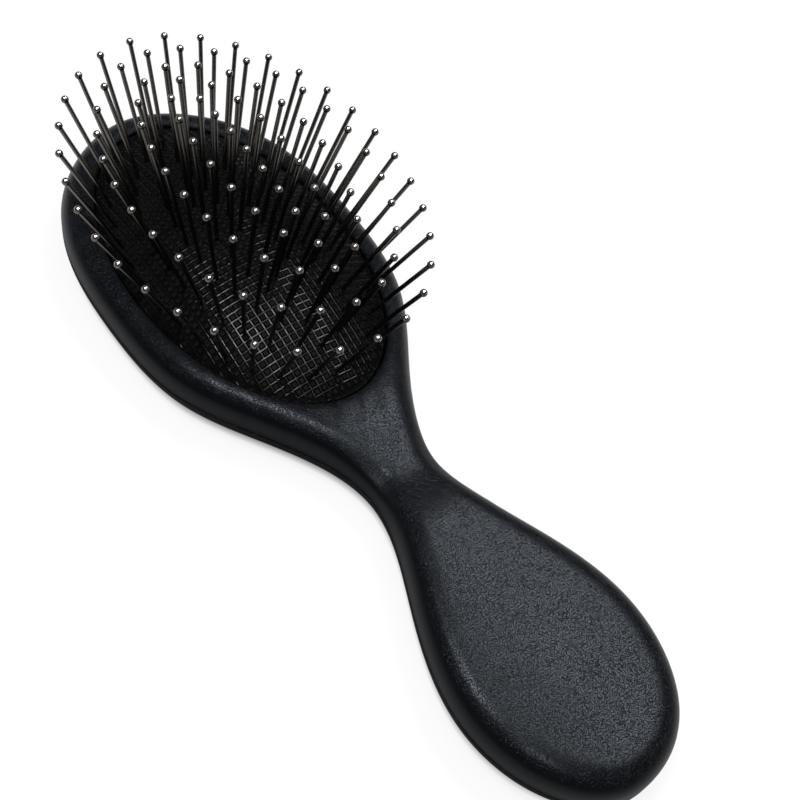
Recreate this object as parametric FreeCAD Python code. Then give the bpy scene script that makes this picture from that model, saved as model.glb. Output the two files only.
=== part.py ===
import FreeCAD, Part
import math
import os

# Travel hair brush: a two-shell moulded body, a domed rubber cushion and ball-tipped metal pins.
# Millimetres. +Z is up (the pins point up), +Y runs from the handle to the head.
# The origin is the middle of the flat back, which the brush lies on.

# Body outline
overall_length = 166.5
head_width = 56.0
neck_width = 14.4
handle_width = 37.6
head_centre_y = 38.5
neck_y = -17.5
handle_centre_y = -60.0
# Where the outline turns at the ends and flanks, as shares of the sizes beside each point
shoulder_share = 0.707
head_shoulder_share = 0.757
handle_flank_shares = (0.5, 0.545)
head_flank_shares = (0.355, 0.42)
head_cheek_shares = (0.63, 0.855)

# Body section
body_thickness = 11.2
seam_height = 5.4
top_edge_radius = 4.3
back_edge_radius = 4.8
wall = 2.2
neck_dip_depth = 1.2
neck_dip_half_length = 15.0
seam_line_depth = 0.25
seam_line_height = 0.3

# Locating lip of the front shell and its groove in the back shell
lip_setback = 1.2
lip_thickness = 1.0
lip_height = 1.2
lip_clearance = 0.1

# Cushion opening in the head: what is left of the rim round it
rim_width = 5.0
toe_rim_width = 6.0
opening_heel_from_neck = 17.3
opening_edge_radius = 0.5

# Cushion
cushion_thickness = 2.0
cushion_edge_drop = 0.8
cushion_crown = 7.2
cushion_side_clearance = 0.3
flange_width = 1.6
flange_thickness = 2.0
flange_clearance = 0.15
chamber_floor = 1.8

# Pins
wire_diameter = 0.85
ball_diameter = 1.45
nail_head_diameter = 1.8
nail_head_thickness = 0.4
nail_head_gap = 0.5
pin_hole_clearance = 0.05
pin_reach = 21.3

# Shell posts
post_diameter = 5.0
peg_diameter = 2.4
peg_height = 2.5
peg_clearance = 0.1
post_ys = (-66.0, -48.0, -30.0)
handle_cavity_end_y = -7.0

overrun = 5.0

# Pin rings from the outside in: name, pins, then width and length of the ring at the cushion and
# at the tips as shares of the opening's width and length
ring_shares = (
    ("outer", 32, 0.87, 0.866, 1.300, 1.086),
    ("second", 28, 0.652, 0.731, 0.996, 0.909),
    ("third", 22, 0.435, 0.594, 0.634, 0.734),
    ("inner", 16, 0.217, 0.460, 0.320, 0.597),
)
middle_row_pins = 7
middle_row_foot_share = 0.323
middle_row_tip_share = 0.41

# How each ring is divided into neighbouring pins that sink together, counter-clockwise from the toe
ring_group_counts = {
    "outer": (("toe", 5), ("left_front", 4), ("left_middle", 3), ("left_rear", 4),
              ("heel", 5), ("right_rear", 4), ("right_middle", 3), ("right_front", 4)),
    "second": (("toe", 5), ("left_front", 5), ("left_rear", 4),
               ("heel", 5), ("right_rear", 4), ("right_front", 5)),
    "third": (("toe", 3), ("left_front", 4), ("left_rear", 4),
              ("heel", 3), ("right_rear", 4), ("right_front", 4)),
    "inner": (("toe", 3), ("left", 5), ("heel", 3), ("right", 5)),
}

vec = FreeCAD.Vector
up = vec(0, 0, 1)
half_length = overall_length / 2
opening_width = head_width - 2 * rim_width
opening_toe_y = half_length - toe_rim_width
opening_heel_y = neck_y + opening_heel_from_neck
opening_length = opening_toe_y - opening_heel_y
opening_centre_y = (opening_toe_y + opening_heel_y) / 2
stretch = opening_length / opening_width
cushion_rim_radius = opening_width / 2 - cushion_side_clearance
cushion_rim_height = body_thickness - cushion_edge_drop
crown_radius = (cushion_rim_radius ** 2 + cushion_crown ** 2) / (2 * cushion_crown)
crown_centre_height = cushion_rim_height + cushion_crown - crown_radius
skirt_radius = cushion_rim_radius - cushion_thickness


def flank_point(shares, from_neck_to_y, widest_half):
    """A point between the neck and a wide part: shares of the way along and of the way out."""
    along_share, out_share = shares
    neck_half = neck_width / 2
    x = neck_half + out_share * (widest_half - neck_half)
    return vec(x, neck_y + along_share * (from_neck_to_y - neck_y), 0)


def outline_points():
    """Hand-set points of the body's edge, counter-clockwise from the tail."""
    head_half = head_width / 2
    handle_half = handle_width / 2
    tail_reach = half_length + handle_centre_y
    toe_reach = half_length - head_centre_y
    right = [
        vec(shoulder_share * handle_half, handle_centre_y - shoulder_share * tail_reach, 0),
        vec(handle_half, handle_centre_y, 0),
        flank_point(handle_flank_shares, handle_centre_y, handle_half),
        vec(neck_width / 2, neck_y, 0),
        flank_point(head_flank_shares, head_centre_y, head_half),
        flank_point(head_cheek_shares, head_centre_y, head_half),
        vec(head_half, head_centre_y, 0),
        vec(head_shoulder_share * head_half, head_centre_y + shoulder_share * toe_reach, 0),
    ]
    left = [vec(-point.x, point.y, 0) for point in reversed(right)]
    return [vec(0, -half_length, 0)] + right + [vec(0, half_length, 0)] + left


def closed_curve(points):
    curve = Part.BSplineCurve()
    curve.interpolate(Points=points, PeriodicFlag=True)
    return curve


def outline_slab(inset, bottom, top):
    """A slab with the body's outline, drawn in by inset, between two heights."""
    points = outline_points()
    curve = closed_curve(points)
    moved = []
    for point in points:
        along = curve.tangent(curve.parameter(point))[0]
        moved.append(point + up.cross(along) * inset + up * bottom)
    face = Part.Face(Part.Wire([closed_curve(moved).toShape()]))
    return face.extrude(up * (top - bottom))


def round_back_edge(solid):
    """Round the outer edge of the flat back."""
    edges = [edge for edge in solid.Edges if edge.BoundBox.ZMax < seam_line_height]
    return solid.makeFillet(back_edge_radius, edges)


def under_top_face():
    """The space below the body's top face, which dips where the neck is narrowest."""
    side_x = -head_width
    reach = overall_length
    dip_start = vec(side_x, neck_y + neck_dip_half_length, body_thickness)
    dip_middle = vec(side_x, neck_y, body_thickness - neck_dip_depth)
    dip_end = vec(side_x, neck_y - neck_dip_half_length, body_thickness)
    dip = Part.BSplineCurve()
    level = dip_end - dip_start
    dip.interpolate(Points=[dip_start, dip_middle, dip_end], InitialTangent=level, FinalTangent=level)
    corners = [
        dip_end,
        vec(side_x, -reach, body_thickness),
        vec(side_x, -reach, 0),
        vec(side_x, reach, 0),
        vec(side_x, reach, body_thickness),
        dip_start,
    ]
    edges = [Part.makeLine(a, b) for a, b in zip(corners, corners[1:])]
    return Part.Face(Part.Wire([dip.toShape()] + edges)).extrude(vec(2 * head_width, 0, 0))


def round_top_edge(solid):
    """Round the top face's outer edge, and leave the straight lines across it."""
    lowest = body_thickness - neck_dip_depth - seam_line_height
    edges = [edge for edge in solid.Edges
             if edge.BoundBox.ZMin > lowest and not isinstance(edge.Curve, Part.Line)]
    return solid.makeFillet(top_edge_radius, edges)


def round_opening(shell):
    """Soften the inner edge of the rim, where the cushion comes out."""
    rim_edges = [edge for edge in shell.Edges
                 if edge.BoundBox.ZMin > body_thickness - opening_edge_radius
                 and edge.BoundBox.XMax < opening_width / 2 + opening_edge_radius
                 and edge.BoundBox.YMin > opening_heel_y - opening_edge_radius]
    return shell.makeFillet(opening_edge_radius, rim_edges)


def oval_slab(radius, bottom, top):
    """A straight oval plug in the head, as wide as radius and stretched lengthways."""
    oval = Part.Ellipse(vec(0, 0, 0), radius * stretch, radius).toShape()
    face = Part.Face(Part.Wire([oval]))
    face.rotate(vec(0, 0, 0), up, 90)
    face.translate(vec(0, opening_centre_y, bottom))
    return face.extrude(up * (top - bottom))


def handle_cavity(bottom, top):
    """The hollow of the handle, closed off before the head."""
    hollow = outline_slab(wall, bottom, top)
    keep = Part.makeBox(handle_width, half_length + handle_cavity_end_y, top - bottom,
                        vec(-handle_width / 2, -half_length, bottom))
    return hollow.common(keep)


def seam_lip(clearance):
    """The ring that locates the shells, or with a clearance the groove that takes it."""
    bottom = seam_height - lip_height - clearance
    outside = outline_slab(lip_setback - clearance, bottom, seam_height)
    inside = outline_slab(lip_setback + lip_thickness + clearance, bottom, seam_height)
    return outside.cut(inside)


def post(diameter, y, bottom, top):
    return Part.makeCylinder(diameter / 2, top - bottom, vec(0, y, bottom), up)


def front_shell():
    shell = outline_slab(0, seam_height, body_thickness + overrun).common(under_top_face())
    shell = round_top_edge(shell)
    shell = shell.cut(oval_slab(opening_width / 2, seam_height - overrun, body_thickness + overrun))
    shell = round_opening(shell)
    seat_radius = cushion_rim_radius + flange_width + flange_clearance
    seat_top = seam_height + flange_thickness + flange_clearance
    shell = shell.cut(oval_slab(seat_radius, seam_height - overrun, seat_top))
    ceiling = body_thickness - wall
    shell = shell.cut(handle_cavity(seam_height - overrun, ceiling))
    shell = shell.fuse(seam_lip(0))
    for y in post_ys:
        shell = shell.fuse(post(post_diameter, y, seam_height, body_thickness - wall / 2))
        socket = post(peg_diameter + 2 * peg_clearance, y, seam_height - overrun,
                      seam_height + peg_height + peg_clearance)
        shell = shell.cut(socket)
    return shell.removeSplitter()


def back_shell():
    shell = outline_slab(0, 0, seam_height - seam_line_height)
    shell = round_back_edge(shell)
    shell = shell.fuse(outline_slab(seam_line_depth, seam_height - seam_line_height, seam_height))
    shell = shell.cut(seam_lip(lip_clearance))
    shell = shell.cut(oval_slab(skirt_radius, chamber_floor, seam_height + overrun))
    shell = shell.cut(handle_cavity(wall, seam_height + overrun))
    for y in post_ys:
        shell = shell.fuse(post(post_diameter, y, wall / 2, seam_height))
        shell = shell.fuse(post(peg_diameter, y, wall, seam_height + peg_height))
    return shell.removeSplitter()


def dome_height(x, y):
    """Height of the cushion's outer face above a point."""
    radius_squared = x ** 2 + ((y - opening_centre_y) / stretch) ** 2
    return crown_centre_height + math.sqrt(crown_radius ** 2 - radius_squared)


def crown_point(radius, crown):
    return vec(radius, 0, crown_centre_height + math.sqrt(crown ** 2 - radius ** 2))


def crown_arc(rim_radius, crown):
    """Arc of the cushion's section, from its rim to its crown."""
    halfway = crown_point(rim_radius / 2, crown)
    return Part.Arc(crown_point(rim_radius, crown), halfway, crown_point(0, crown)).toShape()


def cushion_blank():
    """The cushion before its pin holes: a turned section, stretched lengthways."""
    inner_crown = crown_radius - cushion_thickness
    flange_radius = cushion_rim_radius + flange_width
    flange_top = seam_height + flange_thickness
    corners = [
        crown_point(0, inner_crown),
        crown_point(0, crown_radius),
    ]
    rim_corners = [
        crown_point(cushion_rim_radius, crown_radius),
        vec(cushion_rim_radius, 0, flange_top),
        vec(flange_radius, 0, flange_top),
        vec(flange_radius, 0, seam_height),
        vec(skirt_radius, 0, seam_height),
        crown_point(skirt_radius, inner_crown),
    ]
    edges = [Part.makeLine(corners[0], corners[1]), crown_arc(cushion_rim_radius, crown_radius)]
    edges += [Part.makeLine(a, b) for a, b in zip(rim_corners, rim_corners[1:])]
    edges.append(crown_arc(skirt_radius, inner_crown))
    section = Part.Face(Part.Wire(Part.__sortEdges__(edges)))
    turned = section.revolve(vec(0, 0, 0), up, 360)
    lengthways = FreeCAD.Matrix()
    lengthways.scale(1, stretch, 1)
    blank = turned.transformGeometry(lengthways)
    blank.translate(vec(0, opening_centre_y, 0))
    return blank


def ring_points(width, length, count):
    """Evenly spaced points round an oval, from the toe."""
    oval = Part.Ellipse(vec(0, 0, 0), length / 2, width / 2).toShape()
    oval.rotate(vec(0, 0, 0), up, 90)
    oval.translate(vec(0, opening_centre_y, 0))
    return oval.discretize(count + 1)[:count]


def pin_axes(feet, leans):
    """Foot on the cushion's outer face and unit direction of each pin."""
    axes = []
    for foot, lean in zip(feet, leans):
        foot = vec(foot.x, foot.y, dome_height(foot.x, foot.y))
        rise = math.sqrt(pin_reach ** 2 - lean.x ** 2 - lean.y ** 2)
        axes.append((foot, vec(lean.x, lean.y, rise).normalize()))
    return axes


def ring_axes(ring):
    name, count, foot_width, foot_length, tip_width, tip_length = ring
    feet = ring_points(foot_width * opening_width, foot_length * opening_length, count)
    tips = ring_points(tip_width * opening_width, tip_length * opening_length, count)
    return pin_axes(feet, [tip - foot for foot, tip in zip(feet, tips)])


def middle_row_axes():
    feet = []
    leans = []
    for index in range(middle_row_pins):
        along_share = 2 * index / (middle_row_pins - 1) - 1
        foot_y = along_share * middle_row_foot_share * opening_length / 2
        tip_y = along_share * middle_row_tip_share * opening_length / 2
        feet.append(vec(0, opening_centre_y + foot_y, 0))
        leans.append(vec(0, tip_y - foot_y, 0))
    return pin_axes(feet, leans)


def pin_groups():
    """Named groups of neighbouring pins that sink into the cushion together."""
    groups = {}
    for ring in ring_shares:
        name, count = ring[:2]
        axes = ring_axes(ring)
        toe_pins = ring_group_counts[name][0][1]
        start = -(toe_pins // 2)
        for place, size in ring_group_counts[name]:
            members = [axes[(start + step) % count] for step in range(size)]
            groups["pins_%s_%s" % (name, place)] = members
            start += size
    groups["pins_middle_row"] = middle_row_axes()
    return groups


def pin_blank():
    """One pin along +Z with its foot, where it leaves the cushion, at the origin."""
    wire_radius = wire_diameter / 2
    ball_radius = ball_diameter / 2
    ball_height = pin_reach - ball_radius
    neck_height = ball_height - math.sqrt(ball_radius ** 2 - wire_radius ** 2)
    head_top = -cushion_thickness - nail_head_gap
    head_bottom = head_top - nail_head_thickness
    corners = [
        vec(0, 0, pin_reach),
        vec(0, 0, head_bottom),
        vec(nail_head_diameter / 2, 0, head_bottom),
        vec(nail_head_diameter / 2, 0, head_top),
        vec(wire_radius, 0, head_top),
        vec(wire_radius, 0, neck_height),
    ]
    edges = [Part.makeLine(a, b) for a, b in zip(corners, corners[1:])]
    ball = Part.Arc(corners[-1], vec(ball_radius, 0, ball_height), corners[0]).toShape()
    return Part.Face(Part.Wire(edges + [ball])).revolve(vec(0, 0, 0), up, 360)


def along_axis(shape, foot, direction):
    placed = shape.copy()
    placed.Placement = FreeCAD.Placement(foot, FreeCAD.Rotation(up, direction))
    return placed


def main():
    os.makedirs("parts", exist_ok=True)
    groups = pin_groups()
    pin = pin_blank()
    hole_radius = wire_diameter / 2 + pin_hole_clearance
    hole_length = cushion_thickness + 2 * overrun
    hole = Part.makeCylinder(hole_radius, hole_length, up * (-hole_length / 2), up)
    holes = []
    nodes = {"front_shell": front_shell(), "back_shell": back_shell()}
    for name, members in groups.items():
        nodes[name] = Part.Compound([along_axis(pin, *axis) for axis in members])
        holes += [along_axis(hole, *axis) for axis in members]
        mean = sum((direction for foot, direction in members), vec(0, 0, 0)).normalize()
        print("%s: %d pins, mean axis %.4f %.4f %.4f" % (name, len(members), mean.x, mean.y, mean.z))
    nodes["cushion_pad"] = cushion_blank().cut(holes)
    for name, shape in nodes.items():
        shape.exportStep("parts/%s.step" % name)
        box = shape.BoundBox
        print("%s: %d solids, %.1f x %.1f x %.1f mm, valid %s" % (
            name, len(shape.Solids), box.XLength, box.YLength, box.ZLength, shape.isValid()))


main()
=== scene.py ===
# %% [markdown]
# # A travel cushion brush
# The brush is a black moulded body in two shells, a domed rubber cushion pressed into its head, and
# ball-tipped metal pins that stand in the cushion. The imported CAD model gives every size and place, and
# this lesson gives the pieces their surfaces, a camera, a floor and light. Lengths are in metres, so the
# small real sizes are written in millimetres and multiplied by one named unit.

# %% Load the frame
import math

import bmesh
import bpy
import numpy as np
from mathutils import Matrix, Vector


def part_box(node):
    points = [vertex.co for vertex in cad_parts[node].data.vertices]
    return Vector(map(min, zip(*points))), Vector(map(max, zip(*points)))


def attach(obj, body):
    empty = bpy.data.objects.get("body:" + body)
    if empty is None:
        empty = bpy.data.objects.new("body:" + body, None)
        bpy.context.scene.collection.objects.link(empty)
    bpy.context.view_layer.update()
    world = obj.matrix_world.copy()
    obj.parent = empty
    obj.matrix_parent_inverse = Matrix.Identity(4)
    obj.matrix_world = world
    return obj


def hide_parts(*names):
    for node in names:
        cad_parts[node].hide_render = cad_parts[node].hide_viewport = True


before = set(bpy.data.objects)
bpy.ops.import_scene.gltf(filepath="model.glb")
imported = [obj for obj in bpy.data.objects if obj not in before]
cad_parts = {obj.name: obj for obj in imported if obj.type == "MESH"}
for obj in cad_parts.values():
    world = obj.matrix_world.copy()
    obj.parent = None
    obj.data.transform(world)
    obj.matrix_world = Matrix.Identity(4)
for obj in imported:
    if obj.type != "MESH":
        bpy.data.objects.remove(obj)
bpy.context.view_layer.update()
mm = 0.001

# %% [markdown]
# ## Small helpers
# Colours are written as sRGB hex values, but shaders work with linear light, so one function turns
# one into the other. Another adds a shader node, sets it and links it, which keeps each material short.
# A value that is the same all over a surface is set on the shader itself.

# %% Helpers
def linear(hex_colour):
    """An sRGB hex colour as linear red, green, blue and alpha."""
    parts = [int(hex_colour[k:k + 2], 16) / 255 for k in (1, 3, 5)]
    return [p / 12.92 if p <= 0.04045 else ((p + 0.055) / 1.055) ** 2.4 for p in parts] + [1.0]


def add(tree, kind, inputs=None, **settings):
    """Add one node; inputs maps a socket to a value, or to an output that is linked to it."""
    node = tree.nodes.new("ShaderNode" + kind)
    for name, value in settings.items():
        setattr(node, name, value)
    for socket, value in (inputs or {}).items():
        if isinstance(value, bpy.types.NodeSocket):
            tree.links.new(value, node.inputs[socket])
        else:
            node.inputs[socket].default_value = value
    return node


def new_material(name):
    """An empty node material and its tree."""
    material = bpy.data.materials.new(name)
    material.use_nodes = True
    material.node_tree.nodes.clear()
    return material, material.node_tree


def dress(piece, material):
    """Give a piece one material."""
    piece.data.materials.clear()
    piece.data.materials.append(material)


print("mid grey in linear light", round(linear("#808080")[0], 3))

# %% [markdown]
# ## Camera
# The photograph was taken close up, from above the handle's left side, and turned a little in the frame.
# Its focal length and place were found by matching the outline, the cushion's rim and the rings of pin
# tips. A camera is placed by the direction that it looks back along, and then rolled about it.

# %% Camera
frame_px = 800
focal_px = 1172.8
sensor_mm = 36.0
camera_aim = Vector((13.26, -0.32, 0)) * mm
camera_distance = 228.1 * mm
camera_azimuth = math.radians(-49.33)
camera_elevation = math.radians(53.54)
camera_roll = math.radians(15.97)
nearest_seen = 5 * mm

towards_camera = Vector((math.sin(camera_azimuth) * math.cos(camera_elevation),
                         -math.cos(camera_azimuth) * math.cos(camera_elevation),
                         math.sin(camera_elevation)))
level_right = Vector((math.cos(camera_azimuth), math.sin(camera_azimuth), 0))
level_up = towards_camera.cross(level_right)
view_right = level_right * math.cos(camera_roll) + level_up * math.sin(camera_roll)
view_up = level_up * math.cos(camera_roll) - level_right * math.sin(camera_roll)

camera_data = bpy.data.cameras.new("camera")
camera_data.sensor_width = sensor_mm
camera_data.lens = sensor_mm * focal_px / frame_px
camera_data.clip_start = nearest_seen
camera = bpy.data.objects.new("camera", camera_data)
bpy.context.scene.collection.objects.link(camera)
turned = Matrix((view_right, view_up, towards_camera)).transposed()
camera.matrix_world = Matrix.Translation(camera_aim + towards_camera * camera_distance) @ turned.to_4x4()
bpy.context.scene.camera = camera
print("camera lens", round(camera_data.lens, 1), "mm")

# %% [markdown]
# ## Floor
# The brush lies on a sheet of matt white paper. A plain square is enough, because the sheet's end is far
# out of the picture. More lamp light would make the paper white, but it would make the black body grey too.
# So the paper is mid grey to the lamps, and glows where the camera sees it. The lamps' real shadow falls on
# the mid grey part only. A painted contact shadow darkens the glow in a narrow band where the brush
# touches the paper. In the body's reflections a painted shadow darkens the glow over a wider band, standing
# for the shade that a black object casts on the paper next to it, which its side walls mirror.

# %% Floor
floor_half_width = 3.0
paper_glow = 0.85
# Reach of the painted contact shadow in the paper's glow
painted_contact_shadow_reach = 1.5 * mm
# Reach of the painted shadow in the paper's glow as the body mirrors it
painted_mirrored_shadow_reach = 12 * mm
# How open the paper next to the brush is where the painted shadow in its reflection turns black, and the
# reflection's full strength in the open
painted_mirrored_shadow_black_openness = 0.58
mirrored_strength = 0.62
shade_samples = 8


def add_floor(half_width):
    """A level square sheet under the brush."""
    mesh = bpy.data.meshes.new("floor")
    corners = [(-half_width, -half_width, 0), (half_width, -half_width, 0),
               (half_width, half_width, 0), (-half_width, half_width, 0)]
    mesh.from_pydata(corners, [], [(0, 1, 2, 3)])
    floor = bpy.data.objects.new("floor", mesh)
    bpy.context.scene.collection.objects.link(floor)
    return floor


def white_sheet():
    """Matt white paper with a real lamp shadow, and painted shadows in its glow near the brush."""
    material, tree = new_material("white_paper")
    path = add(tree, "LightPath")
    seen = add(tree, "Math", {0: path.outputs["Is Camera Ray"], 1: path.outputs["Is Transmission Ray"]},
               operation="MAXIMUM")
    # Painted contact shadow: the paper's glow darkens where the brush is close to it
    painted_contact_shadow = add(tree, "AmbientOcclusion", {"Distance": painted_contact_shadow_reach}, samples=shade_samples)
    # Painted shadow in reflections: the glow that the body mirrors darkens over a wider band near the brush
    painted_mirrored_shadow = add(tree, "AmbientOcclusion", {"Distance": painted_mirrored_shadow_reach}, samples=shade_samples)
    painted_mirrored_shadow = add(tree, "MapRange", {"Value": painted_mirrored_shadow.outputs["AO"], "From Min": painted_mirrored_shadow_black_openness,
                                    "To Max": mirrored_strength})
    seen = add(tree, "Math", {0: seen.outputs[0], 1: painted_contact_shadow.outputs["AO"]}, operation="MULTIPLY")
    mirrored = add(tree, "Math", {0: path.outputs["Is Glossy Ray"], 1: painted_mirrored_shadow.outputs["Result"]},
                   operation="MULTIPLY")
    glow = add(tree, "Math", {0: seen.outputs[0], 1: mirrored.outputs[0]}, operation="MAXIMUM")
    glow = add(tree, "Math", {0: glow.outputs[0], 1: paper_glow}, operation="MULTIPLY")
    paper = add(tree, "BsdfDiffuse", {"Color": linear("#6C6C6C")})
    light = add(tree, "Emission", {"Color": linear("#FFFFFF"), "Strength": glow.outputs[0]})
    both = add(tree, "AddShader", {0: paper.outputs[0], 1: light.outputs[0]})
    add(tree, "OutputMaterial", {"Surface": both.outputs[0]})
    return material


dress(add_floor(floor_half_width), white_sheet())
print("floor", 2 * floor_half_width, "m wide")

# %% [markdown]
# ## Room
# The rest of the studio is dim. A bright room would be mirrored all over the shiny body and wash out its
# dark edges, so the world gives only a weak, even light that keeps the deepest shadows from going black.
# The Standard view shows each colour about as it is written.

# %% Room
room_light = 0.06


def dim_studio(light_level):
    """The same weak white light from every side."""
    world = bpy.data.worlds.new("studio")
    world.use_nodes = True
    tree = world.node_tree
    tree.nodes.clear()
    lit = add(tree, "Background", {"Color": linear("#FFFFFF"), "Strength": light_level})
    add(tree, "OutputWorld", {"Surface": lit.outputs[0]})
    bpy.context.scene.world = world


dim_studio(room_light)
bpy.context.scene.view_settings.view_transform = "Standard"
print("room light", room_light)

# %% [markdown]
# ## Lamps
# A black shiny body shows its form only by what it mirrors, so each soft lamp stands where one part of the
# body mirrors it into the camera. The back lamp is a long strip, turned to follow the sheen along the neck
# and the handle's face. The front one, high on the left, draws the bright line along the near edge, and the
# near one draws it round the end of the handle. The top one fills the faces between. Each lamp is placed by
# how far it lies to the right, away from the camera and up.

# %% Lamps
lamp_distance = 0.7
level_away = Vector((-towards_camera.x, -towards_camera.y, 0)).normalized()
upright = Vector((0, 0, 1))
lamps = {
    "near": dict(right=0.03, away=-0.42, up=0.9, width=0.14, depth=0.1, turn=0, watts=0.75),
    "front": dict(right=-0.25, away=-0.02, up=0.968, width=0.14, depth=0.14, turn=0, watts=2.2),
    "top": dict(right=0.02, away=0.1, up=0.99, width=0.22, depth=0.3, turn=0, watts=1.0),
    "back": dict(right=0.22, away=0.425, up=0.879, width=0.42, depth=0.1, turn=-33.5, watts=1.95),
}


def add_lamp(name, right, away, up, width, depth, turn, watts):
    """A soft oblong lamp that faces the brush, turned by some degrees from level across the view."""
    data = bpy.data.lights.new(name, "AREA")
    data.shape = "RECTANGLE"
    data.size = width
    data.size_y = depth
    data.energy = watts
    lamp = bpy.data.objects.new(name, data)
    bpy.context.scene.collection.objects.link(lamp)
    back = (level_right * right + level_away * away + upright * up).normalized()
    along = back.cross(level_right).normalized()
    facing = Matrix((along.cross(back), along, back)).transposed()
    facing = facing @ Matrix.Rotation(math.radians(turn), 3, "Z")
    lamp.matrix_world = Matrix.Translation(camera_aim + back * lamp_distance) @ facing.to_4x4()


for lamp_name, lamp_values in lamps.items():
    add_lamp(lamp_name, **lamp_values)
print("lamps", len(lamps), "watts", round(sum(values["watts"] for values in lamps.values()), 2))

# %% [markdown]
# ## Body
# The shells are black ABS, moulded with a fine leather-like grain on the top face and left smooth on the
# sides. The grain is far too small to model, so it is a bump: a smooth noise is folded into flat plateaus
# with narrow creases between them, a few tenths of a millimetre apart. Plateaus matter, because they still
# mirror the lamps as one face does, where an even ripple would scatter them. The grain fades out by the
# direction that the surface faces, as it turns towards the side wall. The real face also runs softly into
# its rounded edge, so a Bevel node blends the normals there, and the bump is laid over those.

# %% Body finish
crease_swirl = 0.56 * mm
crease_turns = 2
crease_depth = 0.042 * mm
# Share of the way from a crease to the middle of a plateau that still slopes
crease_slope_share = 0.8
swirl_detail = 0.7
# Upward part of the surface's direction where the grain is gone, and where it is full
grain_gone_facing = 0.55
grain_full_facing = 0.9
edge_blend = 2.5 * mm
edge_blend_samples = 6
patch_width = 14 * mm
patch_detail = 2.0
plastic_rough_least = 0.2
plastic_rough_most = 0.26


def moulded_abs(name, grain_strength):
    """Moulded black ABS: a soft, slightly blue sheen over near black, uneven in patches."""
    material, tree = new_material(name)
    place = add(tree, "TexCoord")
    swirls = add(tree, "TexNoise", {"Vector": place.outputs["Object"], "Scale": 1 / crease_swirl,
                                    "Detail": swirl_detail})
    turns = add(tree, "Math", {0: swirls.outputs["Fac"], 1: crease_turns * 2 * math.pi},
                operation="MULTIPLY")
    wave = add(tree, "Math", {0: turns.outputs[0]}, operation="SINE")
    wave = add(tree, "Math", {0: wave.outputs[0]}, operation="ABSOLUTE")
    crease = add(tree, "MapRange", {"Value": wave.outputs[0], "From Max": crease_slope_share},
                 interpolation_type="SMOOTHSTEP")
    surface = add(tree, "NewGeometry")
    facing = add(tree, "SeparateXYZ", {"Vector": surface.outputs["Normal"]})
    grain = add(tree, "MapRange", {"Value": facing.outputs["Z"], "From Min": grain_gone_facing,
                                   "From Max": grain_full_facing, "To Max": grain_strength})
    blended = add(tree, "Bevel", {"Radius": edge_blend}, samples=edge_blend_samples)
    bump = add(tree, "Bump", {"Strength": grain.outputs["Result"], "Distance": crease_depth,
                              "Height": crease.outputs["Result"], "Normal": blended.outputs["Normal"]})
    patches = add(tree, "TexNoise", {"Vector": place.outputs["Object"], "Scale": 1 / patch_width,
                                     "Detail": patch_detail})
    rough = add(tree, "MapRange", {"Value": patches.outputs["Fac"], "To Min": plastic_rough_least,
                                   "To Max": plastic_rough_most})
    plastic = add(tree, "BsdfPrincipled", {"Base Color": linear("#0E0F12"), "IOR": 1.52,
                                           "Specular IOR Level": 0.2, "Specular Tint": linear("#DCE6F2"),
                                           "Roughness": rough.outputs["Result"],
                                           "Normal": bump.outputs["Normal"]})
    add(tree, "OutputMaterial", {"Surface": plastic.outputs[0]})
    return material


shell_finishes = {"front_shell": moulded_abs("abs_leather_grain", 1.0),
                  "back_shell": moulded_abs("abs_smooth", 0.0)}
for shell, finish in shell_finishes.items():
    dress(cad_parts[shell], finish)
    print(shell, finish.name)

# %% [markdown]
# ## Cushion
# The cushion is a thin rubber dome with a waffle pattern, moulded in one piece and gripped at its edge by
# the shells. Only the part inside the grip shows, so its oval is the solid's box less the gripped flange,
# and its top follows a sphere from just under the rim to the solid's crown. Its sizes come from the frame,
# so that it fits the head whatever size that has.

# %% Cushion sizes
flange_width = 1.6 * mm
rim_drop = 0.8 * mm

cushion_low, cushion_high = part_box("cushion_pad")
shell_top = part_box("front_shell")[1].z
cushion_middle = (cushion_low + cushion_high) / 2
pad_width = cushion_high.x - cushion_low.x
pad_length = cushion_high.y - cushion_low.y
cushion_half_width = pad_width / 2 - flange_width
cushion_half_length = cushion_half_width * pad_length / pad_width
crown_rise = cushion_high.z - (shell_top - rim_drop)
crown_radius = (cushion_half_width ** 2 + crown_rise ** 2) / (2 * crown_rise)
crown_centre = cushion_high.z - crown_radius
print("cushion", round(2 * cushion_half_width / mm, 1), "x", round(2 * cushion_half_length / mm, 1), "mm")

# %% [markdown]
# ## Waffle pattern
# Thin ribs with rounded crowns run in both directions, and a small square boss stands in every cell. They
# could be a bump, but the ribs catch the light one by one and stand out against the edge, so they are real
# geometry. Grid lines lie only where the pattern bends, and a formula gives its height at every crossing.

# %% Waffle pattern
waffle_pitch = 1.5 * mm
rib_height = 0.3 * mm
boss_height = 0.3 * mm
# Places across one cell where the pattern bends, as shares of the pitch from the middle of a rib
rib_edge_share = 0.05
boss_foot_share = 0.17
boss_edge_share = 0.25
# Height of a rib's shoulder, as a share of its crown's height
rib_shoulder_share = 0.94


def waffle_lines(half_reach):
    """Places of the grid lines from one side to the other."""
    cells = math.ceil(half_reach / waffle_pitch)
    shares = [rib_edge_share, boss_foot_share, boss_edge_share]
    shares = [0] + shares + [1 - share for share in reversed(shares)]
    lines = [(cell + share) * waffle_pitch for cell in range(-cells, cells) for share in shares]
    inside = [line for line in lines if abs(line) < half_reach]
    return np.array([-half_reach] + inside + [half_reach])


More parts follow.
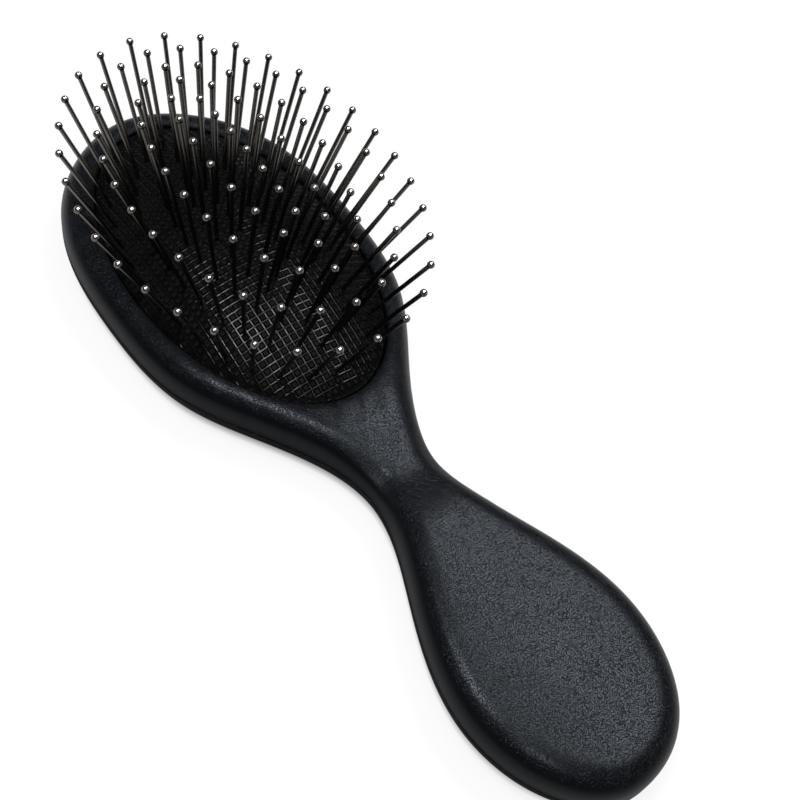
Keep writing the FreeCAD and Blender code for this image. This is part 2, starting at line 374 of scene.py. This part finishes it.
def waffle_height(x, y):
    """Height of the ribs and bosses over the dome."""
    across = np.abs((x / waffle_pitch) % 1 - 0.5)
    along = np.abs((y / waffle_pitch) % 1 - 0.5)
    edges = [0.5 - boss_edge_share, 0.5 - boss_foot_share, 0.5 - rib_edge_share, 0.5]
    rib = np.interp(np.maximum(across, along), edges[1:], [0, rib_shoulder_share, 1])
    boss = np.interp(np.maximum(across, along), edges[:2], [1, 0])
    return np.maximum(rib * rib_height, boss * boss_height)


print("lines across", len(waffle_lines(cushion_half_width)), "along", len(waffle_lines(cushion_half_length)))

# %% [markdown]
# ## Top of the cushion
# A grid of points is laid over the dome, and points past the oval edge are drawn back onto it, which keeps
# the grid's simple order of faces. The pattern fades out in a narrow border, so that the edge is a clean
# line against the rim. Points that fell together at the edge are welded later.

# %% Waffle sheet
border_share = 0.02


def waffle_sheet():
    """Points and faces of the patterned dome."""
    xs = waffle_lines(cushion_half_width)
    ys = waffle_lines(cushion_half_length)
    x, y = np.meshgrid(xs, ys, indexing="ij")
    reach = cushion_half_length * np.sqrt(np.maximum(0, 1 - (x / cushion_half_width) ** 2))
    y = np.clip(y, -reach, reach)
    oval = x ** 2 + (y * cushion_half_width / cushion_half_length) ** 2
    dome = crown_centre + np.sqrt(crown_radius ** 2 - oval)
    fade = np.clip((1 - np.sqrt(oval) / cushion_half_width) / border_share, 0, 1)
    z = dome + waffle_height(x, y) * fade
    points = np.stack([x + cushion_middle.x, y + cushion_middle.y, z], -1).reshape(-1, 3)
    rows = len(ys)
    quads = [(i * rows + j, (i + 1) * rows + j, (i + 1) * rows + j + 1, i * rows + j + 1)
             for i in range(len(xs) - 1) for j in range(rows - 1)]
    return points.tolist(), quads


sheet_points, sheet_quads = waffle_sheet()
print("sheet points", len(sheet_points), "faces", len(sheet_quads))

# %% [markdown]
# ## Underside of the cushion
# Under the real cushion is an air chamber, into which the pins sink with their heads. The scene's cushion is
# hollow as well, so that the heads have room at every pose. Its open rim is extruded ring by ring: down to
# the foot of a skirt, inwards by the rubber's thickness, and up along the inner dome to the middle, where
# the last small ring is filled to close the mesh.

# %% Cushion mesh
skirt_depth = 2.4 * mm
rubber_thickness = 2.0 * mm
ring_count = 8
weld_distance = 0.004 * mm
sharp_angle = math.radians(35)


def underside_profile():
    """Rings of the hollow underside, from the rim inwards: share of the oval's size, and height."""
    skirt_foot = shell_top - rim_drop - skirt_depth
    inner_radius = crown_radius - rubber_thickness
    inner_share = 1 - rubber_thickness / cushion_half_width
    shares = [inner_share * (ring_count - k) / ring_count for k in range(ring_count)]
    hollow = [(share, crown_centre + math.sqrt(inner_radius ** 2 - (share * cushion_half_width) ** 2))
              for share in shares]
    return [(1, skirt_foot), (inner_share, skirt_foot)] + hollow


def open_edges(work):
    """Edges with a face on one side only."""
    return [edge for edge in work.edges if edge.is_boundary]


def close_underside(work):
    """Extrude the open rim along the underside's profile, and fill what stays open."""
    last_share = 1
    for share, height in underside_profile():
        ring = bmesh.ops.extrude_edge_only(work, edges=open_edges(work))["geom"]
        for vert in [item for item in ring if isinstance(item, bmesh.types.BMVert)]:
            vert.co.x = cushion_middle.x + (vert.co.x - cushion_middle.x) * share / last_share
            vert.co.y = cushion_middle.y + (vert.co.y - cushion_middle.y) * share / last_share
            vert.co.z = height
        last_share = share
    bmesh.ops.holes_fill(work, edges=open_edges(work))


def waffle_cushion():
    """The closed cushion: the sheet is welded and closed below, and shaded smooth between sharp bends."""
    mesh = bpy.data.meshes.new("waffle_cushion")
    mesh.from_pydata(sheet_points, [], sheet_quads)
    work = bmesh.new()
    work.from_mesh(mesh)
    bmesh.ops.remove_doubles(work, verts=work.verts, dist=weld_distance)
    bmesh.ops.dissolve_degenerate(work, edges=work.edges, dist=weld_distance)
    close_underside(work)
    bmesh.ops.recalc_face_normals(work, faces=work.faces)
    print("open edges left", len(open_edges(work)))
    work.to_mesh(mesh)
    work.free()
    mesh.shade_smooth()
    mesh.set_sharp_from_angle(angle=sharp_angle)
    piece = bpy.data.objects.new("waffle_cushion", mesh)
    bpy.context.scene.collection.objects.link(piece)
    return piece


cushion = waffle_cushion()
print("cushion faces", len(cushion.data.polygons))

# %% [markdown]
# ## Rubber
# The cushion is black natural rubber, moulded in a tool. The crowns of its ribs shine, while the bosses and
# the floors of the cells look dull. One material does both: the distance to the nearest rib, folded out of
# the position with a ping-pong, blends roughness and shine from rib to boss.

# %% Cushion finish
rib_roughness = 0.1
boss_roughness = 0.6
rib_shine = 0.3
boss_shine = 0.08


def cushion_rubber():
    """Moulded natural rubber: near black, with bright rib crowns and dull bosses."""
    material, tree = new_material("moulded_rubber")
    place = add(tree, "TexCoord")
    across = add(tree, "VectorMath", {0: place.outputs["Object"], 1: cushion_middle}, operation="SUBTRACT")
    across = add(tree, "SeparateXYZ", {"Vector": across.outputs[0]})
    to_rib_x = add(tree, "Math", {0: across.outputs["X"], 1: waffle_pitch / 2}, operation="PINGPONG")
    to_rib_y = add(tree, "Math", {0: across.outputs["Y"], 1: waffle_pitch / 2}, operation="PINGPONG")
    to_rib = add(tree, "Math", {0: to_rib_x.outputs[0], 1: to_rib_y.outputs[0]}, operation="MINIMUM")
    from_rib_to_boss = {"Value": to_rib.outputs[0], "From Min": rib_edge_share * waffle_pitch,
                        "From Max": boss_foot_share * waffle_pitch}
    rough = add(tree, "MapRange", {**from_rib_to_boss, "To Min": rib_roughness, "To Max": boss_roughness})
    shine = add(tree, "MapRange", {**from_rib_to_boss, "To Min": rib_shine, "To Max": boss_shine})
    rubber = add(tree, "BsdfPrincipled", {"Base Color": linear("#0B0B0C"), "IOR": 1.52,
                                          "Specular IOR Level": shine.outputs["Result"],
                                          "Roughness": rough.outputs["Result"]})
    add(tree, "OutputMaterial", {"Surface": rubber.outputs[0]})
    return material


dress(cushion, cushion_rubber())
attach(cushion, "body")
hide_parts("cushion_pad")
print("cushion finish", cushion.data.materials[0].name)

# %% [markdown]
# ## Pins
# Each pin is steel wire with a ball formed on its end, plated with dark nickel and polished by tumbling.
# A polished metal takes its look from what it reflects, so it needs only a colour and a low roughness, with
# a fine unevenness that breaks up the highlights. Where the surface faces up the colour turns to bright
# steel, a painted highlight that stands in for the overhead light mirrored in the tops of the balls.

# %% Pin finish
haze_width = 6 * mm
haze_detail = 2.0
pin_rough_least = 0.16
pin_rough_most = 0.22
# Upward part of the surface's direction where the painted highlight begins, and where it is full
painted_highlight_begins_facing = 0.4
painted_highlight_full_facing = 0.65
# The Mix node has sockets of the same name for each kind of data, so its colour sockets go by number
mix_colour_from = 6
mix_colour_to = 7
mix_colour_result = 2


def dark_nickel():
    """Dark nickel plate: dark grey wires with sharp reflections, and a painted highlight atop the balls."""
    material, tree = new_material("dark_nickel_plate")
    place = add(tree, "TexCoord")
    haze = add(tree, "TexNoise", {"Vector": place.outputs["Object"], "Scale": 1 / haze_width,
                                  "Detail": haze_detail})
    rough = add(tree, "MapRange", {"Value": haze.outputs["Fac"], "To Min": pin_rough_least,
                                   "To Max": pin_rough_most})
    surface = add(tree, "NewGeometry")
    facing = add(tree, "SeparateXYZ", {"Vector": surface.outputs["Normal"]})
    # Painted highlight: the colour brightens to bright steel where the surface faces up
    painted_highlight_share = add(tree, "MapRange", {"Value": facing.outputs["Z"], "From Min": painted_highlight_begins_facing,
                                  "From Max": painted_highlight_full_facing})
    colour = add(tree, "Mix", {"Factor": painted_highlight_share.outputs["Result"], mix_colour_from: linear("#74716D"),
                               mix_colour_to: linear("#D2CFC9")}, data_type="RGBA")
    metal = add(tree, "BsdfPrincipled", {"Base Color": colour.outputs[mix_colour_result], "Metallic": 1.0,
                                         "Roughness": rough.outputs["Result"]})
    add(tree, "OutputMaterial", {"Surface": metal.outputs[0]})
    return material


pin_plate = dark_nickel()
pin_nodes = [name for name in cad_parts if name.startswith("pins_")]
for name in pin_nodes:
    dress(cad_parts[name], pin_plate)
print("pin groups", len(pin_nodes))
